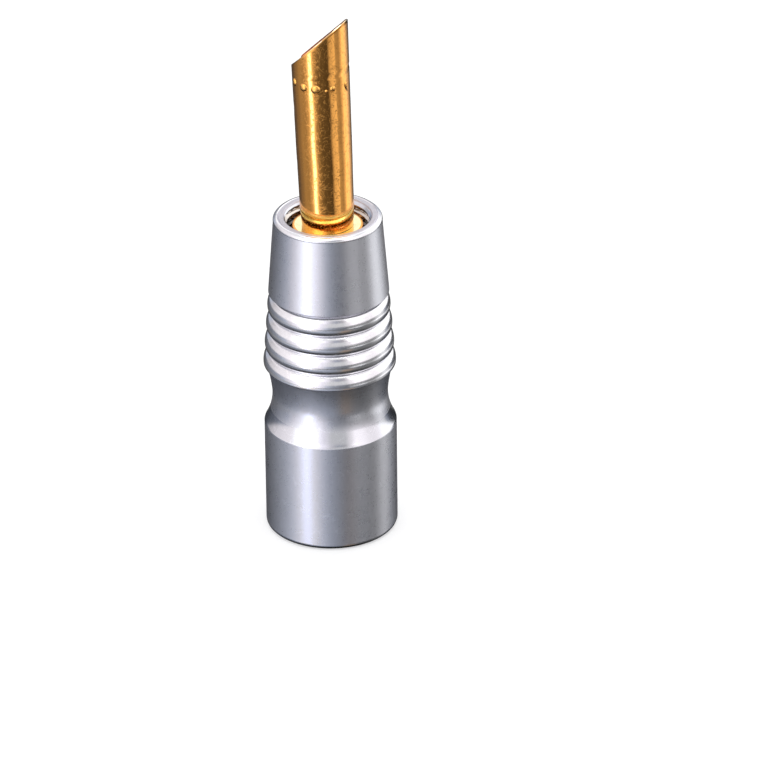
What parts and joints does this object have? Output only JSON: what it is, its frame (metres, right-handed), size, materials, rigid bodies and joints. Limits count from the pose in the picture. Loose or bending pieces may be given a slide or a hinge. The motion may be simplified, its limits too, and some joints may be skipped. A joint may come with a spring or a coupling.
{
  "type": "banana plug",
  "caption": "Screw-clamp banana plug: waisted and ribbed aluminium barrel, gold-plated hub, and a rolled contact tube with a wavy slit and a slanted tip.",
  "frame": {"origin": "centre of the barrel's rear face, which the plug stands on", "axes": "+Z along the barrel towards the contact tip; +X towards the long side of the slanted tip, turned 30 degrees about +Z; -Y is the side the picture shows"},
  "size_m": [0.0108, 0.0108, 0.0455],
  "materials": {
    "satin_aluminium": "satin anodised, finely turned",
    "gold_plate": "polished gold plate with fine swirl scratches"
  },
  "bodies": {
    "barrel": {"barrel": "satin_aluminium", "rear_bush": "gold_plate"},
    "collet": {"collet": "gold_plate"},
    "hub": {"hub": "gold_plate", "contact_tube": "gold_plate"}
  },
  "joints": [
    {"name": "collet_turn", "type": "hinge", "parent": "barrel", "child": "collet", "pos_m": [0, 0, 0.014], "axis": [0, 0, 1], "range_deg": [0, 2520]},
    {"name": "hub_advance", "type": "slide", "parent": "collet", "child": "hub", "axis": [0, 0, 1], "range_m": [0, 0.00525]}
  ],
  "couplings": [
    {"joint": "collet_turn", "follows": "hub_advance", "rad_per_m": 8377.6}
  ]
}
